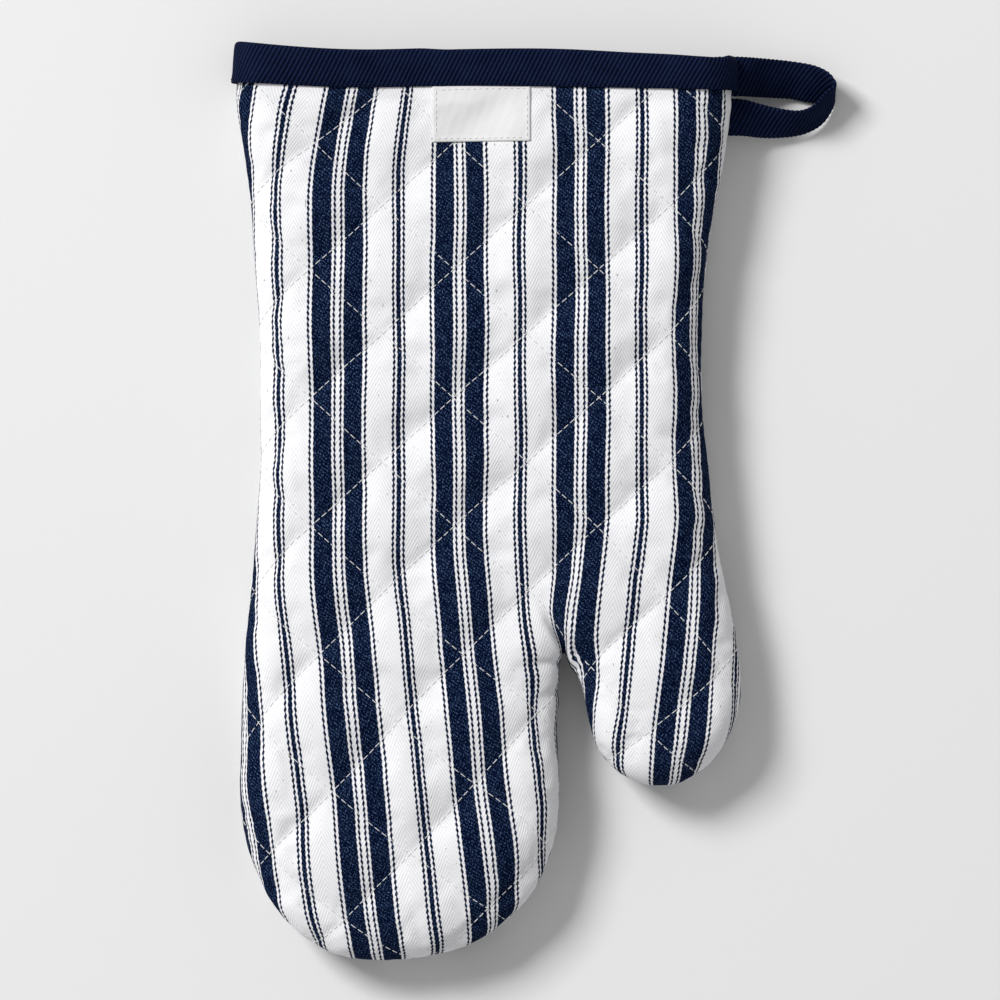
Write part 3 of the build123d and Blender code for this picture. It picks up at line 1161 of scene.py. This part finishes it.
def thread_material(name, colour, shade):
    """Twisted sewing thread."""
    material, tree, shader = new_material(name)
    place = tree.nodes.new("ShaderNodeTexCoord")
    fine = speckle(tree, place.outputs["Object"], 1800.0)
    cotton(tree, shader, blend_colours(tree, fine, colour, shade), 0.7)
    raise_surface(tree, shader, fine, 0.05)
    return material


# ---------------------------------------------------------------- the studio

VIEW_WIDTH = 355.0  # what the camera sees at the mitt's middle height
VIEW_CENTRE = np.array([-12.1, 0.5]) + SHIFT
CAMERA_HEIGHT = 4000.0
FLOOR_REACH = 1500
FLOOR_TONE = 0.80
ROOM_LIGHT = 0.40
KEY_PLACE = (-2.62, 2.18, 3.1)  # in metres: above the mitt, past its cuff and to its left
KEY_POWER = 196
KEY_SIZE = 1.5


def floor_material():
    """A plain pale surface."""
    material, _, shader = new_material("pale_floor")
    shader.inputs["Base Color"].default_value = (FLOOR_TONE, FLOOR_TONE, FLOOR_TONE, 1)
    shader.inputs["Roughness"].default_value = 0.7
    return material


def studio():
    """The floor, the lights and the camera, straight above."""
    scene = bpy.context.scene
    scene.view_settings.view_transform = "Standard"
    corners = [(x * FLOOR_REACH, y * FLOOR_REACH, 0) for x, y in ((-1, -1), (1, -1), (1, 1), (-1, 1))]
    floor = new_piece("floor", corners, [(0, 1, 2, 3)])
    floor.data.materials.append(floor_material())
    world = bpy.data.worlds.new("room")
    world.use_nodes = True
    world.node_tree.nodes["Background"].inputs[0].default_value = (1, 1, 1, 1)
    world.node_tree.nodes["Background"].inputs[1].default_value = ROOM_LIGHT
    scene.world = world
    light = bpy.data.lights.new("key", "AREA")
    light.energy = KEY_POWER
    light.size = KEY_SIZE
    key = bpy.data.objects.new("key", light)
    key.location = KEY_PLACE
    key.rotation_euler = (-key.location).to_track_quat("-Z", "Y").to_euler()
    scene.collection.objects.link(key)
    camera = bpy.data.objects.new("camera", bpy.data.cameras.new("camera"))
    camera.data.lens = camera.data.sensor_width * CAMERA_HEIGHT / VIEW_WIDTH
    camera.data.clip_end = 10
    camera.location = (VIEW_CENTRE[0] * MM, VIEW_CENTRE[1] * MM, (MIDDLE + CAMERA_HEIGHT) * MM)
    scene.collection.objects.link(camera)
    scene.camera = camera


# ---------------------------------------------------------------- the whole mitt

studio()
MATERIALS = {
    "ticking": ticking_material(),
    "tape": tape_material(),
    "batting": plain_cotton("cotton_batting", (0.80, 0.78, 0.73), (0.66, 0.63, 0.57), "cloth", 3.1, 0.3),
    "lining": plain_cotton("white_lining", (0.78, 0.77, 0.75), (0.62, 0.61, 0.59), "cloth", 0.9, 0.10),
    "label": plain_cotton("label_cotton", (0.82, 0.82, 0.82), (0.62, 0.62, 0.62), "cloth", 0.8, 0.06),
    "thread": thread_material("white_thread", (0.82, 0.82, 0.81), (0.62, 0.62, 0.62)),
    "navy_thread": thread_material("navy_thread", (0.010, 0.018, 0.050), (0.003, 0.006, 0.020)),
}
make_panel("back", 1, np.array([0.0, 0.0]), MATERIALS)
make_panel("palm", -1, np.array([9.0, 14.0]), MATERIALS)
make_binding(MATERIALS["tape"], MATERIALS["navy_thread"])
make_loop(MATERIALS["tape"])
seam_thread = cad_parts["side_seam_thread"]
for holder in seam_thread.material_slots:
    holder.material = MATERIALS["thread"]
